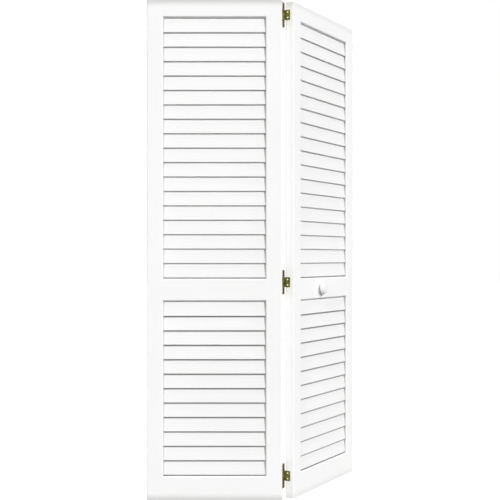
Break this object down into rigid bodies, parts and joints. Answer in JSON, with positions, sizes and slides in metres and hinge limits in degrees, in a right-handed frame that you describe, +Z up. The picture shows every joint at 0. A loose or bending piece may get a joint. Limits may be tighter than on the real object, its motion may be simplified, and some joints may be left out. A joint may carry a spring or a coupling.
{
  "type": "folding louvred door",
  "caption": "White painted folding louvred door standing half folded: framed leaves of tilted slats joined by brass hinges, with a round knob, for closing a cupboard or closet opening.",
  "frame": {"origin": "floor level under the centre of the half-folded door's box", "axes": "+X along the left leaf from its outer edge towards the hinges, +Y from that leaf's front face to its back, +Z up"},
  "size_m": [0.8134, 0.5186, 1.981],
  "materials": {
    "white_paint": "satin white paint on softwood",
    "hinge_brass": "aged",
    "knob_enamel": "gloss white enamel on turned wood"
  },
  "bodies": {
    "root": {"left_outer_stile": "white_paint", "left_hinge_stile": "white_paint", "left_bottom_rail": "white_paint", "left_mid_rail": "white_paint", "left_top_rail": "white_paint", "left_lower_slats": "white_paint", "left_upper_slats": "white_paint", "right_hinge_stile": "white_paint", "right_outer_stile": "white_paint", "right_bottom_rail": "white_paint", "right_mid_rail": "white_paint", "right_top_rail": "white_paint", "right_lower_slats": "white_paint", "right_upper_slats": "white_paint", "top_hinge_outer_plate": "hinge_brass", "top_hinge_inner_plate": "hinge_brass", "top_hinge_pin": "hinge_brass", "middle_hinge_outer_plate": "hinge_brass", "middle_hinge_inner_plate": "hinge_brass", "middle_hinge_pin": "hinge_brass", "bottom_hinge_outer_plate": "hinge_brass", "bottom_hinge_inner_plate": "hinge_brass", "bottom_hinge_pin": "hinge_brass", "knob": "knob_enamel"}
  },
  "joints": []
}
